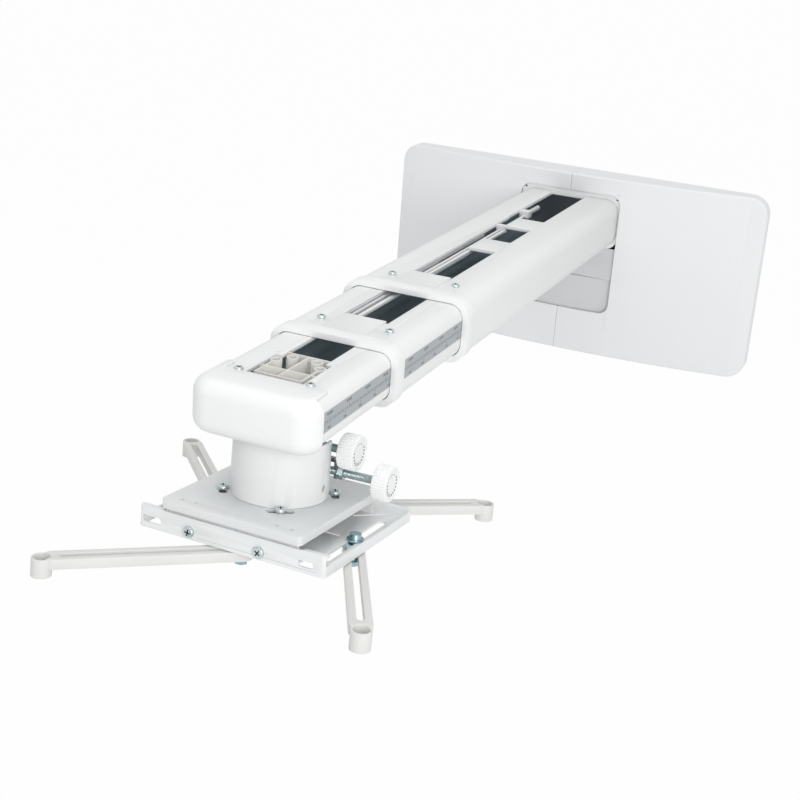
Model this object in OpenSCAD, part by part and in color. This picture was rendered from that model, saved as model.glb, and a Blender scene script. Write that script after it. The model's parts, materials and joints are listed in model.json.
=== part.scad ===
// Wall arm for a projector: a covered wall plate, a three-stage sliding arm,
// a tilting head and four slotted legs with eyelets. The wall is the plane y = 0.
// Millimetres, +Z up, the arm reaches out along -Y.

/* [Wall cover] */
// width of the cover
cover_w = 421.6; // [380:0.2:460]
// height of the cover
cover_h = 202; // [180:1:230]
// corner radius of the cover
cover_r = 20; // [12:1:30]
// depth of the cover at its middle
cover_d = 37.5; // [34:0.5:45]
// radius of the curved front
cover_arc = 1025; // [800:5:1500]
// thickness of the cover's skin
cover_t = 2.5; // [2:0.1:4]
// width of the opening round the arm
open_w = 114; // [112:0.5:125]
// top edge of the opening
open_top = 82.8; // [80:0.2:90]
// bottom edge of the opening
open_bot = -52.3; // [-70:0.1:-40]
// depth of the opening's inward rim
rim_d = 8; // [5:0.5:12]
// half of the gap between the cover's two halves
seam = 0.15; // [0.1:0.05:0.5]

/* [Wall plate] */
// thickness of the steel wall plate
plate_t = 3; // [2.5:0.1:5]
// bolt hole radius in the wall plate
wall_hole_r = 4.5; // [3:0.1:6]
// bolt spacing sideways
wall_sx = 300; // [200:1:340]
// bolt spacing up and down
wall_sz = 120; // [80:1:140]
// gap from plate edge to cover
plate_gap = 0.3; // [0.2:0.1:1]

/* [Arm tubes] */
// wall thickness of the three tubes
tube_t = 3; // [2:0.1:4]
// top of the outer tube above the cover's middle
arm_top = 77; // [70:0.5:80]
// running gap between one tube and the next
tube_gap = 0.75; // [0.4:0.05:1.5]
// outer tube width
outer_w = 110; // [100:1:120]
// outer tube height
outer_h = 52; // [48:0.5:58]
// outer tube corner radius
outer_r = 14; // [10:0.5:18]
// front of the outer collar, measured from the wall
outer_reach = 481; // [430:1:520]
// front of the middle collar, measured from the wall
middle_reach = 610.5; // [560:0.5:640]
// front of the end cap, measured from the wall
cap_reach = 735.3; // [700:0.1:760]
// length of the middle tube
middle_len = 360; // [300:1:400]
// length of the inner tube
inner_len = 362; // [300:1:400]
// how far a collar stands proud of its tube
collar_proud = 1.6; // [1:0.1:3]
// depth of a collar
collar_d = 14; // [10:0.5:20]
// depth of a collar's front wall
collar_front = 2; // [1.5:0.1:3]
// gap round a tube inside the collar of the next one
collar_gap = 0.6; // [0.4:0.1:1]
// length of a collar's tongue
tongue_l = 41; // [30:1:60]
// half width of a collar's tongue
tongue_x = 17.5; // [12:0.5:22]
// thickness of a collar's tongue
tongue_t = 1.2; // [0.8:0.1:2]
// clamp screw head radius
screw_r = 3.5; // [2.5:0.1:4.5]
// half of the sideways distance between clamp screws
screw_x = 29; // [24:0.5:34]
// half width of the long openings in the middle tube
mid_slot_x = 19.5; // [16:0.5:24]
// half width of the long opening in the inner tube
in_slot_x = 17.5; // [16:0.5:20]
// half width of the opening over the ribbed block
block_slot_x = 22.3; // [20:0.1:24]
// distance from the wall to the front edge of that opening
block_slot_y = 702.2; // [700:0.1:703]
// distance from the wall to the nose's screws
cap_screw_y = 699.5; // [698:0.1:701]
// thickness of a scale sticker
sticker_t = 0.3; // [0.2:0.05:0.4]
// height of a scale sticker
sticker_h = 15; // [10:0.5:18]

/* [Guide rod] */
// radius of the rod
rod_r = 1.4; // [1:0.1:2]
// sideways place of the rod
rod_x = -14.2; // [-16:0.1:-12]
// height of the rod's axis
rod_z = 71.6; // [71.5:0.1:72]

/* [End cap] */
// width of the cap
cap_w = 100; // [96:0.5:106]
// height of the cap
cap_h = 42; // [40:0.5:46]
// radius of the cap's upright corners
cap_r = 18; // [8:0.5:20]
// radius of the cap's front edges
cap_edge = 10.5; // [4:0.5:12]
// depth of the cap's solid front
cap_nose = 13; // [8:0.5:18]

/* [Head pose] */
// turn of the plate about the upright axis
head_yaw = -2; // [-8:0.1:8]
// tilt up and down
head_pitch = -5.2; // [-7:0.1:5]
// tilt sideways
head_roll = -1; // [-2:0.1:5]
// distance from the wall to the tilt centre
piv_y = 682.3; // [660:0.1:700]
// height of the tilt centre
piv_z = 8.5; // [4:0.1:12]
// height of the tilt centre above the head plate
piv_h = 30; // [26:0.5:34]

/* [Head] */
// outer radius of the round cover
can_r = 35.4; // [32:0.1:40]
// height of the round cover
can_h = 43; // [38:0.5:46]
// thickness of the round cover
can_t = 2; // [1.5:0.1:3]
// width of the head plate
head_w = 111; // [100:0.5:120]
// front edge of the head plate
head_y0 = -65.2; // [-70:0.1:-60]
// rear edge of the head plate
head_y1 = 53; // [48:0.5:60]
// thickness of the head plate
head_t = 2; // [1.5:0.1:3]
// drop of the head plate's edge
head_drop = 6.5; // [4:0.1:9]
// radius of the circle of head screws
head_pcd_r = 40; // [38:0.5:44]
// shank radius of a head screw
hscrew_r = 2.5; // [2:0.1:3]
// half angle covered by a slot for a head screw
slot_half = 11; // [8:0.5:14]
// running gap on pins and screws
run_gap = 0.1; // [0.05:0.01:0.2]
// pin radius of the tilt joint
pin_r = 4; // [3:0.1:5]

/* [Knobs] */
// knob radius
knob_r = 13; // [11:0.5:13.5]
// threaded rod radius
bolt_r = 3; // [2.5:0.1:3.5]
// inner face of the tilt knob
tilt_x0 = 42; // [40:0.5:44]
// outer face of the tilt knob
tilt_x1 = 54.5; // [52:0.1:60]
// place of the tilt knob's axis behind the head's centre
tilt_y = 12; // [10:0.5:14]
// height of the tilt knob's axis over the head plate
tilt_z = 36.8; // [36:0.1:38]
// inner face of the side-tilt knob
side_x0 = 67.9; // [60:0.1:70]
// outer face of the side-tilt knob
side_x1 = 79.3; // [76:0.1:90]
// place of the side-tilt knob's axis
side_y = 16; // [14:0.5:18]
// height of the side-tilt knob's axis
side_z = 16.6; // [15:0.1:20]

/* [Tray] */
// width of the tray
tray_w = 148.4; // [140:0.2:160]
// front face of the tray
tray_y0 = -63.2; // [-66:0.1:-60]
// rear face of the tray
tray_y1 = 69; // [64:0.5:74]
// top of the tray's front rail
tray_z1 = -9.6; // [-12:0.1:-8]
// underside of the tray's rails
tray_z0 = -25; // [-28:0.1:-24]
// top of the tray's deck
deck_z = -18.5; // [-19:0.1:-17.5]
// sheet thickness of the tray
tray_t = 1.6; // [1.2:0.1:2.5]
// depth of the rail's lip
lip_d = 3.6; // [2:0.1:6]
// half width of the tray's long slots
tslot_r = 3.3; // [3:0.1:3.8]
// sideways place of the tray's side slots
tslot_x = 65.8; // [64:0.1:67]

/* [Legs] */
// distance from bolt to eyelet
leg_l = 133; // [110:1:160]
// width of a leg at its middle
leg_w = 15.4; // [14:0.1:18]
// height of a leg's bar
leg_h = 7; // [6:0.5:9]
// half width of a leg's slot
lslot_r = 2.6; // [2.5:0.05:3]
// shank radius of a leg's bolt
lbolt_r = 2.4; // [2:0.05:2.4]
// outer radius of an eyelet
eye_r = 7; // [6.5:0.5:8]
// height of an eyelet
eye_h = 13; // [11:0.5:16]
// radius of an eyelet's counterbore
eye_cb = 5.6; // [4.5:0.1:6]
// depth of an eyelet's counterbore
eye_cd = 9; // [5:0.5:10]
// radius of an eyelet's screw hole
eye_hole = 2.7; // [2:0.1:4]

/* [Hidden] */
$fn = 48;
eps = 0.5;
gap = 0.3;
outer_zc = arm_top - outer_h / 2;
middle_w = outer_w - 2 * (tube_t + tube_gap);
middle_h = outer_h - 2 * (tube_t + tube_gap);
middle_r = outer_r - tube_t + 0.5;
middle_top = arm_top - tube_t - tube_gap;
inner_w = middle_w - 2 * (tube_t + tube_gap);
inner_h = middle_h - 2 * (tube_t + tube_gap);
inner_r = middle_r - tube_t + 1;
inner_top = middle_top - tube_t - tube_gap;
inner_bot = inner_top - inner_h;
outer_front = outer_reach - collar_front - run_gap;
middle_front = middle_reach - collar_front - run_gap;
inner_front = cap_reach - cap_nose - run_gap;
cap_zc = (inner_top + inner_bot) / 2;
floor_z = deck_z;
leg_z1 = tray_z0 - 3 * gap;
leg_z0 = leg_z1 - leg_h;
eye_z1 = leg_z1 - 0.6;
can_z0 = gap;
skirt_y0 = tray_y0 + tray_t + gap;
fl_at = [3, -51];
fl_a = 224.3;
rl_at = [-60, 20];
rl_a = 133.9;
fr_at = [60, 5];
fr_a = -60;
rr_at = [2, 57];
rr_a = 40.7;
fl_bolt = fl_at;
rl_bolt = [-tslot_x, rl_at[1] + (tslot_x + rl_at[0]) * abs(tan(rl_a))];
fr_bolt = [tslot_x, fr_at[1] + (tslot_x - fr_at[0]) * tan(fr_a)];
rr_bolt = rr_at;

// a plate with round corners, centred, rising from z = 0
module rr(w, h, r, l) {
  translate([-w / 2 + r, -h / 2, 0]) cube([w - 2 * r, h, l]);
  translate([-w / 2, -h / 2 + r, 0]) cube([w, h - 2 * r, l]);
  for (sx = [-1, 1], sy = [-1, 1])
    translate([sx * (w / 2 - r), sy * (h / 2 - r), 0]) cylinder(r = r, h = l);
}

// the same section lying along the arm, from y = -y0 out to y = -y1
module arm_bar(w, h, r, zc, y0, y1) {
  translate([0, -y0, zc]) rotate([90, 0, 0]) rr(w, h, r, y1 - y0);
}

// an upright cut with round corners between two corners
module cut_box(x0, x1, y0, y1, z0, z1, r) {
  translate([(x0 + x1) / 2, (y0 + y1) / 2, z0]) rr(x1 - x0, y1 - y0, r, z1 - z0);
}

// a box between two corners
module slab(x0, x1, y0, y1, z0, z1) {
  translate([x0, y0, z0]) cube([x1 - x0, y1 - y0, z1 - z0]);
}

// a slot of width 2 r between two points, upright
module slot_between(a, b, r, z0, z1) {
  d = b - a;
  l = norm(d);
  translate([a[0], a[1], z0]) rotate([0, 0, atan2(d[1], d[0])]) {
    translate([0, -r, 0]) cube([l, 2 * r, z1 - z0]);
    cylinder(r = r, h = z1 - z0);
    translate([l, 0, 0]) cylinder(r = r, h = z1 - z0);
  }
}

// poses of the head: sideways first, then up and down, then the plate's turn
module roll_pose() {
  translate([0, -piv_y, piv_z]) rotate([0, head_roll, 0]) translate([0, 0, -piv_h])
    children();
}
module pitch_pose() {
  translate([0, -piv_y, piv_z]) rotate([0, head_roll, 0]) rotate([head_pitch, 0, 0])
    translate([0, 0, -piv_h]) children();
}
module head_pose() {
  pitch_pose() rotate([0, 0, head_yaw]) children();
}

// Wall plate: flat steel sheet with four bolt holes, hidden under the cover.
module wall_plate() {
  color([0.55, 0.56, 0.58])
  difference() {
    translate([0, 0, 0]) rotate([90, 0, 0])
      rr(cover_w - 2 * (cover_t + plate_gap), cover_h - 2 * (cover_t + plate_gap),
        cover_r - cover_t - plate_gap, plate_t);
    for (sx = [-1, 1], sz = [-1, 1])
      translate([sx * wall_sx / 2, eps, sz * wall_sz / 2]) rotate([90, 0, 0])
        cylinder(r = wall_hole_r, h = plate_t + 2 * eps);
  }
}

// The moulded shell with its curved front, open at the back.
module cover_shell() {
  difference() {
    intersection() {
      rotate([90, 0, 0]) rr(cover_w, cover_h, cover_r, cover_d + 5);
      translate([0, cover_arc - cover_d, -cover_h / 2 - 5])
        cylinder(r = cover_arc, h = cover_h + 10, $fn = 720);
    }
    intersection() {
      translate([0, eps, 0]) rotate([90, 0, 0])
        rr(cover_w - 2 * cover_t, cover_h - 2 * cover_t, cover_r - cover_t, cover_d + 5);
      translate([0, cover_arc - cover_d, -cover_h / 2 - 5])
        cylinder(r = cover_arc - cover_t, h = cover_h + 10, $fn = 720);
    }
    cover_opening(0, 60);
  }
  intersection() {
    difference() {
      cover_opening(cover_t, rim_d + cover_t + 1);
      cover_opening(0, 60);
    }
    translate([0, cover_arc - cover_d, -cover_h / 2 - 5])
      cylinder(r = cover_arc, h = cover_h + 10, $fn = 720);
  }
}
module cover_opening(grow, depth) {
  translate([0, -cover_d - 1 + depth, (open_top + open_bot) / 2]) rotate([90, 0, 0])
    rr(open_w + 2 * grow, open_top - open_bot + 2 * grow, 12 + grow, depth);
}
module cover_left() {
  color([0.93, 0.93, 0.93])
  difference() {
    cover_shell();
    slab(-seam, cover_w, -60, 10, -cover_h, cover_h);
  }
}
module cover_right() {
  color([0.93, 0.93, 0.93])
  difference() {
    cover_shell();
    slab(-cover_w, seam, -60, 10, -cover_h, cover_h);
  }
}

// Flange: white collar plate round the outer tube inside the cover's opening.
module arm_flange() {
  color([0.95, 0.95, 0.95])
  difference() {
    translate([0, -30, (open_top + outer_zc - outer_h / 2 - 3) / 2]) rotate([90, 0, 0])
      rr(open_w - 2 * gap, open_top - outer_zc + outer_h / 2 + 3 - 2 * gap, 12 - gap, 3);
    arm_bar(outer_w + 0.1, outer_h + 0.1, outer_r + 0.05, outer_zc, 0, 60);
    for (sx = [-1, 1])
      translate([sx * 52.5, -29, arm_top + 0.8]) rotate([90, 0, 0])
        cylinder(r = 1.2, h = 5);
  }
}

// Upper panel: flat grey plate under the tube, with one small hole.
module upper_panel() {
  color([0.86, 0.86, 0.87])
  difference() {
    slab(-open_w / 2 + gap, open_w / 2 - gap, -32, -30,
      -13.4, outer_zc - outer_h / 2 - 3 + gap - 0.1);
    translate([22, -29, 4]) rotate([90, 0, 0]) cylinder(r = 1.5, h = 4);
  }
}

// Lower panel: curved snap-in plate closing the bottom of the opening.
module lower_panel() {
  z0 = open_bot + gap;
  color([0.84, 0.84, 0.85])
  intersection() {
    translate([0, -28, z0 + 30]) rotate([90, 0, 0])
      rr(open_w - 2 * gap, 60, 12 - gap, 8);
    slab(-60, 60, -40, -20, z0 - 1, -13.7);
    translate([0, 300 - 34.5, -60]) cylinder(r = 300, h = 60, $fn = 360);
  }
}

// Outer tube: welded to the wall plate, three windows and a slot in its top.
module outer_tube() {
  color([0.95, 0.95, 0.95])
  difference() {
    arm_bar(outer_w, outer_h, outer_r, outer_zc, plate_t, outer_front);
    arm_bar(outer_w - 2 * tube_t, outer_h - 2 * tube_t, outer_r - tube_t,
      outer_zc, plate_t - eps, outer_front + eps);
    cut_box(-18.6, 18, -426, -319, arm_top - 5, arm_top + 5, 1.5);
    cut_box(-18.6, 18, -279, -220.6, arm_top - 5, arm_top + 5, 1.5);
    cut_box(-20, 18, -180.6, -38, arm_top - 5, arm_top + 5, 1.5);
    slab(-18.6, -8, -420, -175, arm_top - 5, arm_top + 5);
    for (sx = [-1, 1])
      translate([sx * screw_x, -443.5, arm_top - 5]) cylinder(r = 2 + run_gap, h = 8);
  }
}

// A collar: ring over the front of a tube with a tongue on top.
module collar(w, h, r, zc, reach, iw, ih, ir) {
  top = zc + h / 2;
  difference() {
    arm_bar(w + 2 * collar_proud, h + 2 * collar_proud, r + collar_proud, zc,
      reach - collar_d, reach);
    arm_bar(w + 2 * run_gap, h + 2 * run_gap, r + run_gap, zc,
      reach - collar_d - eps, reach - collar_front);
    arm_bar(iw + 2 * collar_gap, ih + 2 * collar_gap, ir + collar_gap, zc,
      reach - collar_front - eps, reach + eps);
    slab(-15.5, 15.5, -reach + collar_d - 1.5, -reach + collar_d - 0.4,
      top + 0.7, top + 5);
  }
  slab(-tongue_x, tongue_x, -reach + collar_d - 0.4, -reach + collar_d + tongue_l,
    top + 0.05, top + 0.05 + tongue_t);
}
module outer_collar() {
  color([0.95, 0.95, 0.95])
  collar(outer_w, outer_h, outer_r, outer_zc, outer_reach, middle_w, middle_h, middle_r);
}
module middle_collar() {
  color([0.95, 0.95, 0.95])
  collar(middle_w, middle_h, middle_r, outer_zc, middle_reach, inner_w, inner_h, inner_r);
}

// A pair of clamp screws beside a collar's tongue.
module screw_pair(y, top, x, deep) {
  for (sx = [-1, 1])
    translate([sx * x, -y, top]) {
      translate([0, 0, 0.02]) cylinder(r = screw_r, h = 2.2);
      translate([0, 0, -deep]) cylinder(r = 2, h = deep + 0.1);
    }
}
module outer_screws() {
  color([0.78, 0.82, 0.82]) screw_pair(443.5, arm_top, screw_x, tube_t);
}
module middle_screws() {
  color([0.78, 0.82, 0.82]) screw_pair(574, middle_top, screw_x, tube_t);
}

// Guide rod: thin white rod along the slot, with its ferrule and clip.
module guide_rod() {
  color([0.9, 0.9, 0.9])
  translate([rod_x, -140, rod_z]) rotate([90, 0, 0]) cylinder(r = rod_r, h = 300);
}
module rod_ferrule() {
  color([0.9, 0.9, 0.9])
  difference() {
    union() {
      slab(-19, -9.6, -148, -138, rod_z - 1.8, arm_top - 0.5);
      slab(-19.8, -9.6, -148, -138, arm_top - tube_t + 0.2, arm_top - 0.5);
      translate([rod_x, -104, rod_z + 0.6]) rotate([90, 0, 0]) cylinder(r = 2.5, h = 38);
    }
    translate([rod_x, -139, rod_z]) rotate([90, 0, 0])
      cylinder(r = rod_r + 0.05, h = 12);
    translate([rod_x, -138.5, rod_z]) rotate([90, 0, 0])
      cylinder(r = rod_r + 0.05, h = 12);
  }
}
module rod_clip() {
  color([0.9, 0.9, 0.9])
  difference() {
    slab(-18.5, -8.1, -219, -213, rod_z - 1.8, arm_top - 0.6);
    translate([rod_x, -200, rod_z]) rotate([90, 0, 0])
      cylinder(r = rod_r + 0.05, h = 40);
  }
}

// Glide strip: white strip lying beside the rod under the tube's top.
module glide_strip() {
  color([0.9, 0.9, 0.9])
  slab(-9.4, -6.8, -444, -226, arm_top - tube_t - 2.4, arm_top - tube_t);
}

// Middle strip: white strip under the left edge of the middle tube's opening.
module middle_strip() {
  color([0.9, 0.9, 0.9])
  slab(-13.6, -10.1, -590, -300, middle_top - tube_t - 2.7, middle_top - tube_t - gap);
}

// Middle tube: slides in the outer tube, with one long opening on top.
module middle_tube() {
  color([0.95, 0.95, 0.95])
  difference() {
    arm_bar(middle_w, middle_h, middle_r, outer_zc, middle_front - middle_len, middle_front);
    arm_bar(middle_w - 2 * tube_t, middle_h - 2 * tube_t, middle_r - tube_t,
      outer_zc, middle_front - middle_len - eps, middle_front + eps);
    slab(-mid_slot_x, mid_slot_x, -557, -middle_front + middle_len + 2,
      middle_top - 5, middle_top + 5);
    for (sx = [-1, 1])
      translate([sx * screw_x, -574, middle_top - 5]) cylinder(r = 2 + run_gap, h = 8);
  }
}

// Inner tube: slides in the middle tube and carries the head.
module inner_tube() {
  color([0.95, 0.95, 0.95])
  difference() {
    arm_bar(inner_w, inner_h, inner_r, outer_zc, inner_front - inner_len, inner_front);
    arm_bar(inner_w - 2 * tube_t, inner_h - 2 * tube_t, inner_r - tube_t,
      outer_zc, inner_front - inner_len - eps, inner_front + eps);
    slab(-in_slot_x, in_slot_x, -block_slot_y + 20, -inner_front + inner_len + 2,
      inner_top - 5, inner_top + 5);
    slab(-block_slot_x, block_slot_x, -block_slot_y, -656, inner_top - 5, inner_top + 5);
    for (sx = [-1, 1]) {
      translate([sx * 28, -cap_screw_y, inner_top - 5]) cylinder(r = 2 + run_gap, h = 8);
      translate([sx * 23.6, -652, inner_top - 5]) cylinder(r = 0.8, h = 8);
      translate([sx * 22, -piv_y, inner_bot - 3]) cylinder(r = 3 + run_gap, h = 8);
    }
  }
}

// Scale stickers on the right side of the middle and the inner tube.
module middle_ruler() {
  color([0.74, 0.75, 0.77])
  slab(middle_w / 2, middle_w / 2 + sticker_t, -596, -360,
    outer_zc - sticker_h / 2 + 3, outer_zc + sticker_h / 2 + 3);
}
module inner_ruler() {
  color([0.74, 0.75, 0.77])
  slab(inner_w / 2, inner_w / 2 + sticker_t, -719.4, -480,
    outer_zc - sticker_h / 2 + 1.4, outer_zc + sticker_h / 2 + 1.4);
}

// End cap: moulded nose over the inner tube's front.
module end_cap() {
  color([0.96, 0.96, 0.96])
  difference() {
    intersection() {
      arm_bar(cap_w, cap_h, 12, cap_zc, 688, cap_reach);
      translate([0, -cap_reach + 60, cap_zc - cap_h])
        rr(cap_w, 120, cap_r, 2 * cap_h);
      translate([-cap_w, -cap_reach + 60, cap_zc]) rotate([90, 0, 90])
        rr(120, cap_h, cap_edge, 2 * cap_w);
    }
    arm_bar(inner_w + 2 * run_gap, inner_h + 2 * run_gap, inner_r + run_gap,
      cap_zc, 680, cap_reach - cap_nose);
    slab(42, 60, -719.9, -680, 0, 90);
    slab(-37, 60, -block_slot_y - 0.2, -680, 0, 90);
    for (sx = [-1, 1])
      slot_between([sx * 28, -cap_screw_y], [sx * 28, -690], screw_r + 0.4, inner_top - 1, 90);
    slab(-36, 60, -719, -680, 20, 40);
    slab(-60, 60, -700, -680, 20, 40);
  }
}
module cap_screws() {
  color([0.78, 0.82, 0.82]) screw_pair(cap_screw_y, inner_top, 28, tube_t + 1);
}

// Ribbed block: cast seat inside the inner tube, bolted over the yoke.
module ribbed_block() {
  top = inner_top - tube_t - gap;
  color([0.85, 0.83, 0.79])
  difference() {
    union() {
      slab(-19.4, 19.4, -695.4, -647.6, 50, 54);
      slab(-19.4, 19.4, -695.4, -680.5, 53, 60);
      slab(-19.4, 19.4, -695.4, -693.8, 52, top);
      slab(-19.4, 19.4, -649.2, -647.6, 52, top);
      for (sx = [-18.6, 18.6])
        slab(sx - 0.8, sx + 0.8, -695.4, -665, 52, top);
      slab(-24, 24, -681.3, -679.7, 52, top);
      slab(-0.8, 0.8, -695.4, -648, 52, top);
      slab(-30, 30, -696, -668, inner_bot + tube_t, 52);
      for (sx = [-1, 1]) {
        translate([sx * 18.3, -665.2, 50]) cylinder(r = 4.6, h = top - 50);
        translate([sx * 10.2, -654.9, 50]) cylinder(r = 4.6, h = top - 50);
      }
    }
    for (sx = [-1, 1]) {
      translate([sx * 18.3, -665.2, 57]) cylinder(r = 3, h = 12);
      translate([sx * 10.2, -654.9, 57]) cylinder(r = 3, h = 12);
      translate([sx * 22, -piv_y, 30]) cylinder(r = 3 + run_gap, h = 30);
    }
    slab(-40, 40, -694, -670, 44, 49);
  }
}

// Yoke: bracket bolted under the inner tube, two ears with the side-tilt bores.
module yoke() {
  color([0.8, 0.82, 0.84])
  difference() {
    union() {
      slab(-28, 28, -piv_y - 20.7, -piv_y + 20.7, inner_bot - 3, inner_bot);
      for (sy = [-1, 1])
        translate([0, -piv_y + sy * 19.2, 0]) {
          slab(-8, 8, -1.5, 1.5, piv_z, inner_bot - 2);
          translate([0, 1.5, piv_z]) rotate([90, 0, 0]) cylinder(r = 8, h = 3);
        }
    }
    translate([0, -piv_y + 30, piv_z]) rotate([90, 0, 0])
      cylinder(r = pin_r + run_gap, h = 60);
    for (sx = [-1, 1])
      translate([sx * 22, -piv_y, inner_bot - 4]) cylinder(r = 3 + run_gap, h = 6);
  }
}
module yoke_bolts() {
  color([0.75, 0.79, 0.8])
  for (sx = [-1, 1])
    translate([sx * 22, -piv_y, inner_bot - 3]) {
      translate([0, 0, -3.5]) cylinder(r = 5, h = 3.48, $fn = 6);
      translate([0, 0, -0.2]) cylinder(r = 3, h = 11);
    }
}

// Gimbal block: the cross between yoke and saddle, with the side-tilt screw's ear.
module gimbal_block() {
  color([0.78, 0.8, 0.82])
  roll_pose() translate([0, 0, piv_h])
  difference() {
    union() {
      slab(-13.5, 13.5, -17.3, 17.3, -6, 6);
      slab(8, 37, 14, 17.3, -6, -3);
      slab(34.4, 37, 14, side_y + 6, side_z - piv_h - 5, -3);
    }
    slab(7.5, 14, 5, 18, -0.5, 7);
    rotate([90, 0, 0]) translate([0, 0, -30]) cylinder(r = pin_r, h = 22);
    rotate([90, 0, 0]) translate([0, 0, 8]) cylinder(r = pin_r, h = 22);
    rotate([0, 90, 0]) translate([0, 0, 7]) cylinder(r = pin_r, h = 22);
    rotate([0, 90, 0]) translate([0, 0, -29]) cylinder(r = pin_r, h = 22);
    translate([32, side_y, side_z - piv_h]) rotate([0, 90, 0])
      cylinder(r = bolt_r + run_gap, h = 8);
  }
}
module gimbal_pins() {
  color([0.7, 0.72, 0.74])
  roll_pose() translate([0, 0, piv_h]) {
    rotate([90, 0, 0]) translate([0, 0, -21]) cylinder(r = pin_r, h = 13);
    rotate([90, 0, 0]) translate([0, 0, 8]) cylinder(r = pin_r, h = 13);
    rotate([0, 90, 0]) translate([0, 0, 7]) cylinder(r = pin_r, h = 10.2);
    rotate([0, 90, 0]) translate([0, 0, -17.2]) cylinder(r = pin_r, h = 10.2);
  }
}

// Saddle: base disc under the head plate, hub through it, two upright ears.
module saddle() {
  color([0.8, 0.82, 0.84])
  pitch_pose()
  difference() {
    union() {
      translate([0, 0, -head_t - gap - 3]) cylinder(r = 46, h = 3);
      translate([0, 0, -head_t - gap - 1]) cylinder(r = 29.6, h = head_t + gap + 4);
      translate([0, 0, 0.8]) cylinder(r = can_r - can_t - 0.1, h = 3);
      for (sx = [-1, 1])
        translate([sx * 15.4, 0, 0]) {
          slab(-1.5, 1.5, -8, 8, 2, piv_h);
          translate([-1.5, 0, piv_h]) rotate([0, 90, 0]) cylinder(r = 8, h = 3);
        }
      slab(13.9, 16.9, 0, tilt_y + 5, piv_h + 4, piv_h + 12);
      slab(13.9, 16.9, -6, 6, piv_h, piv_h + 12);
    }
    translate([-30, 0, piv_h]) rotate([0, 90, 0]) cylinder(r = pin_r + run_gap, h = 60);
    translate([10, tilt_y, tilt_z]) rotate([0, 90, 0])
      cylinder(r = bolt_r + run_gap, h = 10);
    for (a = [30, 120, 210, 300])
      rotate([0, 0, a]) translate([head_pcd_r, 0, -8]) cylinder(r = hscrew_r, h = 8);
  }
}

// Round cover over the joint, open at the rear right for the two rods.
module can_cover() {
  color([0.95, 0.95, 0.95])
  pitch_pose()
  difference() {
    translate([0, 0, can_z0]) cylinder(r = can_r, h = can_h);
    translate([0, 0, can_z0 - 1]) cylinder(r = can_r - can_t, h = can_h + 2);
    slab(0, 50, 9.5, 50, 9, 60);
    slab(0, 50, 8, 50, 31, 60);
    slab(-22, 50, 14, 50, 12, 60);
    rotate([0, 0, -2]) translate([20, 0, 10.3]) rotate([0, 90, 0])
      cylinder(r = 2.6, h = 20);
  }
}
module can_screw() {
  color([0.9, 0.9, 0.9])
  pitch_pose() rotate([0, 0, -2]) translate([33.45, 0, 10.3]) rotate([0, 90, 0])
    cylinder(r = 2.5, h = 1.6);
}
module head_screws() {
  color([0.75, 0.8, 0.8])
  pitch_pose()
  for (a = [30, 120, 210, 300])
    rotate([0, 0, a]) translate([head_pcd_r, 0, 0]) {
      translate([0, 0, gap]) cylinder(r = 4.2, h = 2.6);
      translate([0, 0, -5]) cylinder(r = hscrew_r, h = 5.5);
    }
}

// Tilt shaft with its cam, and the knob on it.
module tilt_shaft() {
  color([0.6, 0.68, 0.69])
  pitch_pose() translate([0, tilt_y, tilt_z]) rotate([0, 90, 0]) {
    translate([0, 0, 12]) cylinder(r = bolt_r, h = tilt_x0 - 12 + 8);
    translate([-1, 0, 9]) cylinder(r = 4.4, h = 3.5);
  }
}
module knob(x0, x1, y, z) {
  translate([x0, y, z]) rotate([0, 90, 0])
  difference() {
    cylinder(r = knob_r, h = x1 - x0);
    translate([0, 0, -1]) cylinder(r = bolt_r + 0.05, h = 9.2);
    difference() {
      translate([0, 0, x1 - x0 - 0.6]) cylinder(r = 9.6, h = 2);
      translate([0, 0, x1 - x0 - 1]) cylinder(r = 8.8, h = 3);
    }
  }
}
module tilt_knob() {
  color([0.95, 0.95, 0.95])
  pitch_pose() knob(tilt_x0, tilt_x1, tilt_y, tilt_z);
}
module side_rod() {
  color([0.6, 0.68, 0.69])
  roll_pose() translate([3, side_y, side_z]) rotate([0, 90, 0])
    cylinder(r = bolt_r, h = side_x0 - 3 + 8);
}
module side_knob() {
  color([0.95, 0.95, 0.95])
  roll_pose() knob(side_x0, side_x1, side_y, side_z);
}

// Head plate: flanged square plate with four slots round the cover.
module head_plate() {
  yc = (head_y0 + head_y1) / 2;
  color([0.93, 0.94, 0.94])
  head_pose()
  difference() {
    union() {
      difference() {
        translate([0, yc, -head_drop]) rr(head_w, head_y1 - head_y0, 3, head_drop);
        translate([0, yc, -head_drop - 1])
          rr(head_w - 2 * head_t, head_y1 - head_y0 - 2 * head_t, 1.5,
            head_drop - head_t + 1);
      }
      slab(-52, 52, skirt_y0, skirt_y0 + 1.8, floor_z - 4.5, -head_t + 0.1);
      slab(-52, 52, 47.5, 49.3, floor_z, -head_t + 0.1);
    }
    translate([0, 0, -10]) cylinder(r = 30.2, h = 20);
    for (a = [30, 120, 210, 300])
      rotate([0, 0, a - head_yaw]) arc_slot();
    for (sx = [-1, 1], x = [32.4, 43.6])
      translate([sx * x, -56.9, -4]) cylinder(r = 1.3, h = 8);
    translate([-36, -21, -4]) cylinder(r = 1.1, h = 8);
    for (x = [-32.5, 23.5])
      translate([x, -50, -19.5]) rotate([90, 0, 0]) cylinder(r = 2.1, h = 20);
  }
}
// one of the four slots for a head screw, centred on angle zero
module arc_slot() {
  reach = head_pcd_r * tan(slot_half) - 1;
  slot_between([head_pcd_r - 0.3, -reach], [head_pcd_r - 0.3, reach],
    hscrew_r + 0.7, -4, 4);
}

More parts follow.
